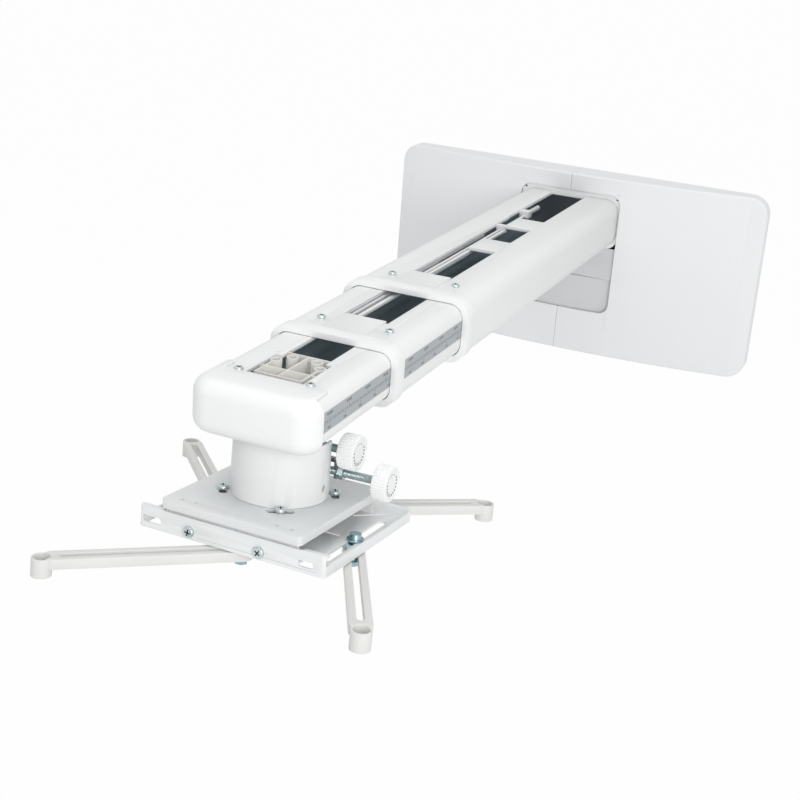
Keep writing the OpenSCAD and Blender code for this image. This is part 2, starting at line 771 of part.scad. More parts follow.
// Tray: pressed sheet, a deck with slots for the leg bolts, a tall front rail with
// a lip, a low rear rail and turned-down sides.
module tray() {
  hw = tray_w / 2;
  color([0.93, 0.94, 0.94])
  head_pose()
  difference() {
    intersection() {
      translate([0, (tray_y0 + tray_y1) / 2, tray_z0])
        rr(tray_w, tray_y1 - tray_y0, 3, tray_z1 - tray_z0);
      union() {
        slab(-hw, hw, tray_y0, tray_y0 + tray_t, tray_z0, tray_z1);
        slab(-hw, hw, tray_y0, tray_y0 + tray_t + lip_d, tray_z1 - tray_t, tray_z1);
        slab(-hw, hw, tray_y0, tray_y1, floor_z - tray_t, floor_z);
        slab(-hw, hw, tray_y1 - tray_t, tray_y1, tray_z0, floor_z + 3);
        slab(-hw, -hw + tray_t, tray_y0, tray_y1, tray_z0, floor_z + 1);
        slab(hw - tray_t, hw, tray_y0, tray_y1, tray_z0, floor_z + 1);
      }
    }
    slab(-56, 56, tray_y0 + tray_t, tray_y0 + 12, tray_z1 - 4, tray_z1 + 4);
    slab(-53, 53, tray_y0 + tray_t, tray_y0 + tray_t + 3.4, floor_z - tray_t - 1, floor_z + 1);
    for (sx = [-1, 1])
      slot_between([sx * tslot_x, -47], [sx * tslot_x, 35.5], tslot_r,
        floor_z - 4, floor_z + 1);
    translate([-63.9, tray_y0 - 1, -18.6]) rotate([0, 90, 90])
      slot_between([0, -5.5], [0, 5.5], 2.4, 0, 10);
    translate([59.3, tray_y0 - 1, -18.6]) rotate([0, 90, 90])
      slot_between([0, -3.7], [0, 3.7], 2.2, 0, 10);
    slot_between([-45, fl_at[1]], [45, fl_at[1]], tslot_r, floor_z - 4, floor_z + 1);
    slot_between([-45, rr_at[1]], [28, rr_at[1]], tslot_r, floor_z - 4, floor_z + 1);
    slot_between([44, 35.5], [60.7, 52.3], 1.1, floor_z - 4, floor_z + 1);
    slot_between([40, -5.2], [53.2, -5.2], 1.1, floor_z - 4, floor_z + 1);
    slot_between([38.5, 55.5], [47, 59.3], 1.1, floor_z - 4, floor_z + 1);
    slot_between([-43, -20], [-43, 20], 1.6, floor_z - 4, floor_z + 1);
    slot_between([-20, 0], [20, 0], 6, floor_z - 4, floor_z + 1);
    for (x = [-32.5, 23.5])
      translate([x, tray_y0 + 4.8, -19.5]) rotate([90, 0, 0]) cylinder(r = 2.1, h = 12);
  }
}
module tray_screws() {
  color([0.75, 0.8, 0.8])
  head_pose()
  for (x = [-32.5, 23.5])
    translate([x, tray_y0, -19.5]) rotate([90, 0, 0]) {
      translate([0, 0, 0.02]) cylinder(r = 4.3, h = 2.4);
      translate([0, 0, -4.7]) cylinder(r = 2, h = 4.9);
    }
}

// Leg bolt: washer above the deck, spacer under it, nut under the leg.
module leg_bolt(at) {
  color([0.45, 0.58, 0.62])
  head_pose() translate([at[0], at[1], 0]) {
    translate([0, 0, floor_z + gap]) cylinder(r = 6.1, h = 1.2);
    translate([0, 0, floor_z + gap + 1.1]) cylinder(r = 4.2, h = 3.6);
    translate([0, 0, leg_z0 - 4]) cylinder(r = lbolt_r, h = floor_z - leg_z0 + 5);
    translate([0, 0, leg_z1 + gap])
      cylinder(r = 5.6, h = floor_z - tray_t - leg_z1 - 2 * gap);
    translate([0, 0, leg_z0 - gap - 3.4]) cylinder(r = 4.8, h = 3.4, $fn = 6);
  }
}
module bolt_fl() { leg_bolt(fl_bolt); }
module bolt_rl() { leg_bolt(rl_bolt); }
module bolt_fr() { leg_bolt(fr_bolt); }
module bolt_rr() { leg_bolt(rr_bolt); }

// Leg: cast bar with one long slot and a counterbored eyelet.
module leg(at, a) {
  color([0.9, 0.9, 0.88])
  head_pose() translate([at[0], at[1], 0]) rotate([0, 0, a])
  difference() {
    union() {
      slot_between([0, 0], [leg_l - leg_w / 2, 0], leg_w / 2, leg_z0, leg_z1);
      translate([leg_l, 0, eye_z1 - eye_h]) cylinder(r = eye_r, h = eye_h);
    }
    slot_between([0, 0], [leg_l - 14, 0], lslot_r, leg_z0 - 1, leg_z1 + 1);
    translate([leg_l, 0, eye_z1 - eye_cd]) cylinder(r = eye_cb, h = 20);
    translate([leg_l, 0, eye_z1 - eye_h - 1]) cylinder(r = eye_hole, h = 20);
  }
}
module leg_fl() { leg(fl_at, fl_a); }
module leg_rl() { leg(rl_at, rl_a); }
module leg_fr() { leg(fr_at, fr_a); }
module leg_rr() { leg(rr_at, rr_a); }

wall_plate();
cover_left();
cover_right();
arm_flange();
upper_panel();
lower_panel();
outer_tube();
outer_collar();
outer_screws();
guide_rod();
rod_ferrule();
rod_clip();
glide_strip();
middle_tube();
middle_collar();
middle_screws();
middle_ruler();
middle_strip();
inner_tube();
inner_ruler();
end_cap();
cap_screws();
ribbed_block();
yoke();
yoke_bolts();
gimbal_block();
gimbal_pins();
saddle();
can_cover();
can_screw();
head_screws();
tilt_shaft();
tilt_knob();
side_rod();
side_knob();
head_plate();
tray();
tray_screws();
bolt_fl();
bolt_rl();
bolt_fr();
bolt_rr();
leg_fl();
leg_rl();
leg_fr();
leg_rr();
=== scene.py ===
import bpy
import json
import math
from mathutils import Matrix, Vector

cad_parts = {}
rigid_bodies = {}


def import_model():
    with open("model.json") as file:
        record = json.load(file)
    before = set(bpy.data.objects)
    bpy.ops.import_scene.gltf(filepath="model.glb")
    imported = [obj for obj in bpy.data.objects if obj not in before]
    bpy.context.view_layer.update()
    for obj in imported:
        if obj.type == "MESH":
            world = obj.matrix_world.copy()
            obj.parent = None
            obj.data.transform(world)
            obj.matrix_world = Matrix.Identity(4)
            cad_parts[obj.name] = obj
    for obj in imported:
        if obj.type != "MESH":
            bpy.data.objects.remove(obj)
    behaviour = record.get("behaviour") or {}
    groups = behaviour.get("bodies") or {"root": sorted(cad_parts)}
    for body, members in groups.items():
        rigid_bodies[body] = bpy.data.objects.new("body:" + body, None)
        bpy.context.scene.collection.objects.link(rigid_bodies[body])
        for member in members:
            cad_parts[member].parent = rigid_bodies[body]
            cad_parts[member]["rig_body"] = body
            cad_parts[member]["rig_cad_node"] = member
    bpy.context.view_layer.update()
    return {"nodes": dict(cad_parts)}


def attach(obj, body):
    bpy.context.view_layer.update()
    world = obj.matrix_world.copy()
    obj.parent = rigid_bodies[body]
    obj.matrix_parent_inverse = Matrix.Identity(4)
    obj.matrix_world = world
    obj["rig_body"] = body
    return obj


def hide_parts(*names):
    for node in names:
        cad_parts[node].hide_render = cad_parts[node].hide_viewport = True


for left_over in ("Cube", "Light", "Camera"):
    if left_over in bpy.data.objects:
        bpy.data.objects.remove(bpy.data.objects[left_over])
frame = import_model()
nodes = frame["nodes"]


# Outer, middle and inner tubes
# Three welded steel box tubes, powder coated white outside and left dark inside,
# with windows milled in their tops; each slides in the next one.
class Flow:
    """A shader value that takes plain arithmetic."""

    def __init__(self, tree, out):
        self.tree, self.out = tree, out

    def op(self, kind, *others):
        node = self.tree.nodes.new("ShaderNodeMath")
        node.operation = kind
        for i, v in enumerate((self, *others)):
            if isinstance(v, Flow):
                self.tree.links.new(v.out, node.inputs[i])
            else:
                node.inputs[i].default_value = v
        return Flow(self.tree, node.outputs[0])

    def __add__(self, o):
        return self.op("ADD", o)

    def __sub__(self, o):
        return self.op("SUBTRACT", o)

    def __mul__(self, o):
        return self.op("MULTIPLY", o)

    def __truediv__(self, o):
        return self.op("DIVIDE", o)

    def __lt__(self, o):
        return self.op("LESS_THAN", o)

    def __gt__(self, o):
        return self.op("GREATER_THAN", o)

    def size(self):
        return self.op("ABSOLUTE")


def new_finish(name, colour, roughness, metallic=0.0):
    finish = bpy.data.materials.new(name)
    finish.use_nodes = True
    tree = finish.node_tree
    shader = next(n for n in tree.nodes if n.type == "BSDF_PRINCIPLED")
    shader.inputs["Base Color"].default_value = (*colour, 1)
    shader.inputs["Roughness"].default_value = roughness
    shader.inputs["Metallic"].default_value = metallic
    coords = tree.nodes.new("ShaderNodeTexCoord")
    split = tree.nodes.new("ShaderNodeSeparateXYZ")
    tree.links.new(coords.outputs["Object"], split.inputs[0])
    x, y, z = (Flow(tree, split.outputs[i]) for i in range(3))
    return finish, tree, shader, coords, (x, y, z)


def axes_in(tree, coords, place):
    """Reads x, y and z in the frame of a placed piece."""
    mapping = tree.nodes.new("ShaderNodeMapping")
    back = place.inverted()
    mapping.inputs["Location"].default_value = back.to_translation()
    mapping.inputs["Rotation"].default_value = back.to_euler()
    tree.links.new(coords.outputs["Object"], mapping.inputs["Vector"])
    split = tree.nodes.new("ShaderNodeSeparateXYZ")
    tree.links.new(mapping.outputs[0], split.inputs[0])
    return tuple(Flow(tree, split.outputs[i]) for i in range(3))


def speckle(tree, coords, scale, detail=2.0):
    noise = tree.nodes.new("ShaderNodeTexNoise")
    noise.inputs["Scale"].default_value = scale
    noise.inputs["Detail"].default_value = detail
    tree.links.new(coords.outputs["Object"], noise.inputs["Vector"])
    return Flow(tree, noise.outputs[0])


def raise_by(tree, shader, height, depth, strength=1.0):
    bump = tree.nodes.new("ShaderNodeBump")
    bump.inputs["Distance"].default_value = depth
    bump.inputs["Strength"].default_value = strength
    tree.links.new(height.out, bump.inputs["Height"])
    tree.links.new(bump.outputs[0], shader.inputs["Normal"])


def blend_colour(tree, share, first, second):
    mix = tree.nodes.new("ShaderNodeMix")
    mix.data_type = "RGBA"
    tree.links.new(share.out, mix.inputs["Factor"])
    for socket, value in ((mix.inputs[6], first), (mix.inputs[7], second)):
        if isinstance(value, tuple):
            socket.default_value = (*value, 1)
        else:
            tree.links.new(value, socket)
    return mix.outputs[2]


def powder(tree, shader, coords, scale=900, base=0.36, depth=0.00006):
    """The fine orange-peel skin of a powder coat."""
    peel = speckle(tree, coords, scale)
    tree.links.new((peel * 0.12 + base).out, shader.inputs["Roughness"])
    raise_by(tree, shader, peel, depth, 0.5)


def hold(obj):
    """Makes one object the only one selected, and the active one."""
    bpy.ops.object.select_all(action="DESELECT")
    obj.select_set(True)
    bpy.context.view_layer.objects.active = obj


coat_white = (0.80, 0.81, 0.80)
arm_mid = 0.051  # height of the tubes' common centre
lining = 0.0025  # how far below the outside the unpainted inside begins


def coated_tube(name, half_w, half_h, round_r):
    finish, tree, shader, coords, (x, _, z) = new_finish(name, coat_white, 0.42)
    across = (x.size() - (half_w - round_r)).op("MAXIMUM", 0)
    along = ((z - arm_mid).size() - (half_h - round_r)).op("MAXIMUM", 0)
    inside = (across * across + along * along) < (round_r - lining) ** 2
    tone = speckle(tree, coords, 18) * 0.5 + 0.25
    white = blend_colour(tree, tone, (0.81, 0.82, 0.81), (0.85, 0.855, 0.845))
    dusk = blend_colour(tree, speckle(tree, coords, 9, 4), (0.28, 0.345, 0.38),
                        (0.42, 0.49, 0.53))
    tree.links.new(blend_colour(tree, inside, white, dusk), shader.inputs["Base Color"])
    powder(tree, shader, coords)
    return finish


def soften(obj, width, rings, angle):
    """Rounds every edge sharper than the angle."""
    soft = obj.modifiers.new("edge", "BEVEL")
    soft.width, soft.segments, soft.limit_method = width, rings, "ANGLE"
    soft.angle_limit = math.radians(angle)
    bpy.ops.object.modifier_apply(modifier="edge")


def dressed(node, body, finish, edge, rings, angle=32):
    """A softened copy of a solid: merged, its edges rounded, its faces smoothed."""
    copy = nodes[node].copy()
    copy.data = nodes[node].data.copy()
    copy.name = copy.data.name = node + "_dressed"
    bpy.context.scene.collection.objects.link(copy)
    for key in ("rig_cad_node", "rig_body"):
        if key in copy:
            del copy[key]
    copy.parent = None
    copy.matrix_world = Matrix.Identity(4)
    hold(copy)
    bpy.ops.object.mode_set(mode="EDIT")
    bpy.ops.mesh.select_all(action="SELECT")
    bpy.ops.mesh.remove_doubles(threshold=0.00001)
    bpy.ops.mesh.dissolve_limited(angle_limit=math.radians(0.6))
    bpy.ops.object.mode_set(mode="OBJECT")
    if edge:
        soften(copy, edge, rings, angle)
    bpy.ops.object.shade_smooth_by_angle(angle=math.radians(28))
    copy.data.materials.clear()
    copy.data.materials.append(finish)
    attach(copy, body)
    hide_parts(node)
    return copy


def paint(obj, finish):
    """Gives an object, its shape left as it is, one finish."""
    obj.data.materials.clear()
    obj.data.materials.append(finish)


dressed("outer_tube", "wall", coated_tube("outer tube coat", 0.055, 0.026, 0.014),
        0.0005, 2)
dressed("middle_tube", "middle", coated_tube("middle tube coat", 0.05125, 0.02225, 0.0115),
        0.0005, 2)
dressed("inner_tube", "inner", coated_tube("inner tube coat", 0.0475, 0.0185, 0.0095),
        0.0005, 2)


# Wall plate
# Flat steel sheet behind the cover, cut and drilled, left as rolled. The yoke,
# block, pins and saddle inside the head have the same bare steel.
steel, tree, shader, coords, _ = new_finish(
    "rolled steel", (0.42, 0.43, 0.45), 0.42, 1.0)
grain = speckle(tree, coords, 240, 3)
tree.links.new((grain * 0.2 + 0.32).out, shader.inputs["Roughness"])
raise_by(tree, shader, grain, 0.00003)
for name in ("wall_plate", "yoke", "gimbal_block", "gimbal_pins", "saddle"):
    paint(nodes[name], steel)


# Wall cover
# Two injection-moulded white shells with a curved front, clipped over the wall
# plate and meeting in a fine seam at the middle.
def moulded(name, low, high, rough=0.38):
    finish, tree, shader, coords, _ = new_finish(name, high, rough)
    tone = speckle(tree, coords, 7, 1)
    tree.links.new(blend_colour(tree, tone, low, high), shader.inputs["Base Color"])
    skin = speckle(tree, coords, 700)
    tree.links.new((skin * 0.1 + (rough - 0.05)).out, shader.inputs["Roughness"])
    raise_by(tree, shader, skin, 0.00004, 0.4)
    return finish


def pick(obj, wanted_edge=None, wanted_face=None):
    """Selects edges or faces of a mesh by a test of their ends or normals."""
    hold(obj)
    bpy.ops.object.mode_set(mode="EDIT")
    bpy.ops.mesh.select_mode(type="EDGE" if wanted_edge else "FACE")
    bpy.ops.mesh.select_all(action="DESELECT")
    bpy.ops.object.mode_set(mode="OBJECT")
    if wanted_edge:
        for edge in obj.data.edges:
            edge.select = wanted_edge(*(obj.data.vertices[v].co for v in edge.vertices))
    if wanted_face:
        for face in obj.data.polygons:
            face.select = wanted_face(face)
    bpy.ops.object.mode_set(mode="EDIT")


# the cover's corner rounding and curved front: their centres, and a radius
# that lies just inside each
corner_x, corner_z, corner_r = 0.1908, 0.081, 0.0198
front_y, front_r = 0.9875, 1.0248


def on_rim(a, b):
    """True for edges of the front that follow the outline of the cover."""
    far = []
    for v in (a, b):
        x, z = abs(v.x) - corner_x, abs(v.z) - corner_z
        corner = min(x, z) > 0 and math.hypot(x, z) > corner_r
        outline = max(x, z) > corner_r or corner
        far.append(outline and math.hypot(v.x, v.y - front_y) > front_r)
    return all(far)


shell_white = moulded("shell plastic", (0.80, 0.80, 0.805), (0.84, 0.84, 0.84))
for name in ("cover_left", "cover_right"):
    shell = dressed(name, "wall", shell_white, 0, 0)
    pick(shell, on_rim)
    bpy.ops.mesh.bevel(offset=0.0045, segments=6, affect="EDGES", clamp_overlap=True)
    bpy.ops.object.mode_set(mode="OBJECT")
    soften(shell, 0.0006, 2, 50)
    bpy.ops.object.shade_smooth_by_angle(angle=math.radians(32))


# Flange and panels in the cover's opening
# Powder-coated flange plate round the tube, and two clip-in panels coloured pale grey,
# darker than the white round them: painted shade of the recess under the arm.
flange_white, tree, shader, coords, _ = new_finish("flange coat", coat_white, 0.4)
tree.links.new(blend_colour(tree, speckle(tree, coords, 15), (0.80, 0.81, 0.805),
                            (0.85, 0.855, 0.85)), shader.inputs["Base Color"])
powder(tree, shader, coords)
dressed("arm_flange", "wall", flange_white, 0.0005, 2)
# The panels' grey stands for the shade in the recess under the arm: painted shade.
panel_shade_grey = moulded("panel plastic shade", (0.62, 0.62, 0.63), (0.66, 0.66, 0.67), 0.45)
for name in ("upper_panel", "lower_panel"):
    dressed(name, "wall", panel_shade_grey, 0.0004, 2)


# Collars
# Moulded white rings pushed over the front of the outer and middle tube; a flat
# tongue on top covers the slot and carries the clamp screws' pads.
cap_white = moulded("collar plastic", (0.88, 0.885, 0.88), (0.91, 0.91, 0.905))
dressed("outer_collar", "wall", cap_white, 0.0005, 3, 50)
dressed("middle_collar", "middle", cap_white, 0.0005, 3, 50)


# Guide rod, ferrule, clip and strips
# Thin white rod in the arm's slot, held by a stepped ferrule and a clip, with
# white nylon strips beside it.
nylon = moulded("nylon", (0.78, 0.78, 0.775), (0.83, 0.83, 0.82), 0.3)
for name, body in (("guide_rod", "wall"), ("rod_ferrule", "wall"), ("rod_clip", "wall"),
                   ("glide_strip", "wall"), ("middle_strip", "middle")):
    dressed(name, body, nylon, 0.0002, 1, 50)


# Scale stickers
# Printed silver-grey film on the tubes' right sides: a centre line, fine marks
# above and below it, and short strokes where the figures stand.
upper_pitch, lower_pitch = 0.0295, 0.0239  # between the long marks


def scale_film(name, y0, mid_z):
    finish, tree, shader, coords, (_, y, z) = new_finish(name, (0.54, 0.56, 0.58), 0.5)
    up, along = (z - mid_z), (y - y0)

    def every(pitch, width, shift=0.0):
        return ((along + shift) / pitch).op("FRACT") < (width / pitch)

    def band(low, high):
        return (up > low) * (up < high)

    ink = band(-0.0002, 0.0002) * every(0.0059, 0.0045)
    fine = band(0.0, 0.0016) * every(0.00295, 0.0003)
    long_mark = band(0.0, 0.0034) * every(upper_pitch, 0.0004)
    low_fine = band(-0.0016, 0.0) * every(0.00239, 0.0003)
    low_long = band(-0.0032, 0.0) * every(lower_pitch, 0.0004)
    figures = (band(0.0042, 0.0061) * every(upper_pitch, 0.0085, 0.0042)
               * every(0.0017, 0.0011))
    low_figures = (band(-0.0062, -0.0043) * every(lower_pitch, 0.0046, 0.0023)
                   * every(0.0016, 0.001))
    for mark in (fine, long_mark, low_fine, low_long, figures, low_figures):
        ink = ink.op("MAXIMUM", mark)
    wear = speckle(tree, coords, 40, 3) * 0.25 + 0.75
    tree.links.new(blend_colour(tree, ink * wear, (0.40, 0.425, 0.44), (0.05, 0.06, 0.065)),
                   shader.inputs["Base Color"])
    film = speckle(tree, coords, 500)
    tree.links.new((film * 0.1 + 0.42).out, shader.inputs["Roughness"])
    return finish


for name, y0, mid in (("middle_ruler", -0.583, 0.0540), ("inner_ruler", -0.7078, 0.0524)):
    paint(nodes[name], scale_film(name + " film", y0, mid))


# Pan-head screws
# Zinc-plated machine screws with a low domed head and a crossed recess: beside
# the collars, behind the nose, round the head cover and in the tray's front.
zinc, tree, shader, coords, _ = new_finish("zinc", (0.62, 0.68, 0.69), 0.3, 1.0)
tarnish = speckle(tree, coords, 160, 3)
tree.links.new(blend_colour(tree, tarnish, (0.52, 0.60, 0.62), (0.72, 0.77, 0.77)),
               shader.inputs["Base Color"])
tree.links.new((speckle(tree, coords, 420) * 0.2 + 0.2).out, shader.inputs["Roughness"])
# The crossed recess is coloured near black: painted shade inside the recess.
recess = bpy.data.materials.new("screw recess shade")
recess.use_nodes = True
recess_shader = next(n for n in recess.node_tree.nodes if n.type == "BSDF_PRINCIPLED")
recess_shader.inputs["Base Color"].default_value = (0.07, 0.08, 0.085, 1)
recess_shader.inputs["Metallic"].default_value = 0.8
recess_shader.inputs["Roughness"].default_value = 0.5


def settle(obj, finish=None):
    """Works an object's place, turn and size into its mesh."""
    hold(obj)
    bpy.ops.object.transform_apply(location=True, rotation=True, scale=True)
    if finish:
        obj.data.materials.clear()
        obj.data.materials.append(finish)
    return obj


def pan_screw(radius, height):
    """One head on the origin, standing along +Z, with its crossed recess."""
    bpy.ops.object.select_all(action="DESELECT")
    bpy.ops.mesh.primitive_cylinder_add(vertices=32, radius=radius, depth=height,
                                        location=(0, 0, height / 2))
    head = bpy.context.object
    bpy.ops.object.mode_set(mode="EDIT")
    bpy.ops.mesh.select_all(action="DESELECT")
    bpy.ops.object.mode_set(mode="OBJECT")
    for face in head.data.polygons:
        face.select = face.normal.z > 0.9
    bpy.ops.object.mode_set(mode="EDIT")
    bpy.ops.mesh.bevel(offset=height * 0.55, segments=4, affect="EDGES")
    bpy.ops.object.mode_set(mode="OBJECT")
    settle(head, zinc)
    head.data.materials.append(recess)
    for turn in (0, math.pi / 2):
        bpy.ops.object.select_all(action="DESELECT")
        bpy.ops.mesh.primitive_cube_add(size=1, location=(0, 0, height))
        blade = bpy.context.object
        blade.scale = (radius * 1.15, radius * 0.24, height * 0.9)
        blade.rotation_euler.z = turn
        settle(blade, recess)
        cut = head.modifiers.new("cross", "BOOLEAN")
        cut.object = blade
        cut.operation = "DIFFERENCE"
        cut.solver = "EXACT"
        cut.material_mode = "TRANSFER"
        hold(head)
        bpy.ops.object.modifier_apply(modifier="cross")
        bpy.data.objects.remove(blade)
    bpy.ops.object.shade_smooth_by_angle(angle=math.radians(35))
    return head


def frame_of(base, axis, spin=0.0):
    """Places +Z along an axis at a point."""
    turn = Vector((0, 0, 1)).rotation_difference(Vector(axis)).to_matrix().to_4x4()
    return Matrix.Translation(Vector(base)) @ turn @ Matrix.Rotation(spin, 4, "Z")


roll, pitch, yaw = (math.radians(a) for a in (-1, -5.2, -2))
centre = Matrix.Translation((0, -0.6823, 0.0085))  # where the head tilts
drop = Matrix.Translation((0, 0, -0.03))  # from there to the plate's plane
roll_turn = Matrix.Rotation(roll, 4, "Y")
pitch_turn = roll_turn @ Matrix.Rotation(pitch, 4, "X")
roll_place = centre @ roll_turn @ drop
pitch_place = centre @ pitch_turn @ drop
plate_place = pitch_place @ Matrix.Rotation(yaw, 4, "Z")


def screw_set(name, body, radius, height, places):
    heads = []
    for place in places:
        head = pan_screw(radius, height)
        head.data.transform(place)
        heads.append(head)
    bpy.ops.object.select_all(action="DESELECT")
    for head in heads:
        head.select_set(True)
    bpy.context.view_layer.objects.active = heads[0]
    bpy.ops.object.join()
    whole = bpy.context.object
    whole.name = whole.data.name = name + "_dressed"
    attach(whole, body)
    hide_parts(name)


up = (0, 0, 1)
screw_set("outer_screws", "wall", 0.0034, 0.0021,
          [frame_of((s * 0.029, -0.4435, 0.07705), up, 0.4 * s) for s in (-1, 1)])
screw_set("middle_screws", "middle", 0.0034, 0.0021,
          [frame_of((s * 0.029, -0.574, 0.0733), up, 0.7 * s) for s in (-1, 1)])
screw_set("cap_screws", "inner", 0.0034, 0.0021,
          [frame_of((s * 0.028, -0.6995, 0.06955), up, 0.3 * s) for s in (-1, 1)])
screw_set("head_screws", "tilt", 0.0041, 0.0025,
          [pitch_place @ Matrix.Rotation(math.radians(a), 4, "Z")
           @ Matrix.Translation((0.04, 0, 0.00035)) for a in (30, 120, 210, 300)])
screw_set("tray_screws", "plate", 0.0042, 0.0023,
          [plate_place @ frame_of((px, -0.06325, -0.0195), (0, -1, 0), 0.5 + px * 20)
           for px in (-0.0325, 0.0235)])


# Ribbed block
# Die-cast seat in the inner tube, warm grey and unpainted, with four bosses and
# crossing ribs; it clamps the head's yoke.
cast, tree, shader, coords, _ = new_finish("warm casting", (0.62, 0.59, 0.53), 0.55)
tree.links.new(blend_colour(tree, speckle(tree, coords, 130, 3), (0.66, 0.645, 0.61),
                            (0.76, 0.745, 0.71)), shader.inputs["Base Color"])
raise_by(tree, shader, speckle(tree, coords, 600), 0.0001, 0.5)
seat = dressed("ribbed_block", "inner", cast, 0.0003, 2)
narrow = 0.965  # the block is drawn a little narrower than its solid
rib_end, foot_top = 0.0228, 0.0525
rib_top, rise = 0.0655, 0.0031  # the ribs are raised level with the tube's top
seat.data.transform(Matrix.Diagonal((narrow, 1, 1, 1)))
pick(seat, lambda a, b: (min(abs(a.x), abs(b.x)) > rib_end
                         and min(a.z, b.z) > foot_top))
bpy.ops.transform.resize(value=(0.95, 1, 1), center_override=(0, 0, 0.06))
bpy.ops.object.mode_set(mode="OBJECT")
pick(seat, lambda a, b: min(a.z, b.z) > rib_top)
bpy.ops.transform.translate(value=(0, 0, rise))
bpy.ops.object.mode_set(mode="OBJECT")


# Nose cap
# One soft-cornered moulding pushed over the inner tube's end, its edges rounded
# all the way, cut back for the scale on the right and for the two screws on top.
def block(low, high):
    """A box between two corners."""
    middle = [(a + b) / 2 for a, b in zip(low, high)]
    bpy.ops.object.select_all(action="DESELECT")
    bpy.ops.mesh.primitive_cube_add(size=1, location=middle)
    made = bpy.context.object
    made.scale = [b - a for a, b in zip(low, high)]
    return settle(made, cap_white)


def round_off(obj, offset, segments, wanted_edge=None, wanted_face=None):
    """Rounds the picked edges, or the outlines of the picked faces."""
    pick(obj, wanted_edge, wanted_face)
    bpy.ops.mesh.bevel(offset=offset, segments=segments, affect="EDGES")
    bpy.ops.object.mode_set(mode="OBJECT")


def carve(obj, tool):
    cut = obj.modifiers.new("cut", "BOOLEAN")
    cut.object, cut.operation, cut.solver = tool, "DIFFERENCE", "EXACT"
    hold(obj)
    bpy.ops.object.modifier_apply(modifier="cut")
    bpy.data.objects.remove(tool)


cap = block((-0.05, -0.7353, 0.0302), (0.05, -0.64, 0.0708))
round_off(cap, 0.018, 12, lambda a, b: abs(a.z - b.z) > 0.01)
round_off(cap, 0.0112, 9, None, lambda face: abs(face.normal.z) > 0.9)
hollow = block((-0.0476, -0.722, 0.0324), (0.0476, -0.62, 0.0696))
round_off(hollow, 0.0092, 8, lambda a, b: abs(a.y - b.y) > 0.01)
carve(cap, hollow)
for low, high in (((0.043, -0.7199, 0.0), (0.06, -0.62, 0.09)),
                  ((-0.037, -0.7024, 0.0), (0.06, -0.62, 0.09)),
                  ((-0.06, -0.688, 0.0), (0.06, -0.62, 0.09)),
                  ((-0.036, -0.719, 0.02), (0.06, -0.62, 0.04)),
                  ((-0.06, -0.7, 0.02), (0.06, -0.62, 0.04))):
    carve(cap, block(low, high))
for side in (-1, 1):
    bpy.ops.object.select_all(action="DESELECT")
    bpy.ops.mesh.primitive_cylinder_add(vertices=40, radius=0.0039, depth=0.02,
                                        location=(side * 0.028, -0.6995, 0.0786))
    carve(cap, settle(bpy.context.object, cap_white))
hold(cap)
soften(cap, 0.0003, 2, 50)
bpy.ops.object.shade_smooth_by_angle(angle=math.radians(40))
cap.name = cap.data.name = "end_cap_dressed"
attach(cap, "inner")
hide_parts("end_cap")


# Round cover and its set screw
# Short turned steel cup, powder coated, round the tilting joint; a small round
# set screw in its side holds it.
dressed("can_cover", "tilt", flange_white, 0.0005, 2)
socket_grey = moulded("set screw coat", (0.42, 0.44, 0.44), (0.50, 0.52, 0.52), 0.4)
dressed("can_screw", "tilt", socket_grey, 0.0003, 2)


# Adjusting rods
# M6 zinc-plated rods; the thread shows as fine rings along them, coloured darker in the
# roots as painted shade and lighter on the crests as painted highlight. A hex nut sits on
# the lower one.
rod_tint, ring_rate = (0.42, 0.50, 0.52), 6283.2  # one ring a millimetre
thread, tree, shader, coords, (x, _, _) = new_finish("rod zinc", rod_tint, 0.3, 1.0)
# Each ring is coloured darker in the thread's root and lighter on its crest, along with the
# bump: painted shade and painted highlight.
shaded_ring = (x * ring_rate).op("SINE") * 0.5 + 0.5
tree.links.new(blend_colour(tree, shaded_ring, (0.30, 0.40, 0.42), (0.62, 0.70, 0.71)),
               shader.inputs["Base Color"])
tree.links.new((speckle(tree, coords, 300) * 0.15 + 0.22).out, shader.inputs["Roughness"])
raise_by(tree, shader, shaded_ring, 0.0004, 0.8)
dressed("tilt_shaft", "tilt_cam", thread, 0.0003, 1)
side_rod = dressed("side_rod", "side_screw", thread, 0.0003, 1)
bpy.ops.object.select_all(action="DESELECT")
bpy.ops.mesh.primitive_cylinder_add(vertices=6, radius=0.0052, depth=0.0046,
                                    rotation=(0, math.pi / 2, 0))
nut = settle(bpy.context.object, thread)
nut.data.transform(roll_place @ Matrix.Translation((0.0399, 0.016, 0.0166)))
soften(nut, 0.0005, 2, 30)
side_rod.select_set(True)
bpy.context.view_layer.objects.active = side_rod
bpy.ops.object.join()


# Knobs
# Round white nylon knobs pressed on the rods, knurled round the rim, with a dial
# ring and tick marks moulded in the outer face; the dial ring's groove is darkened with
# painted shade.
ticks, tick_share, face_depth, full_turn = 20, 0.45, 0.0012, 6.2832


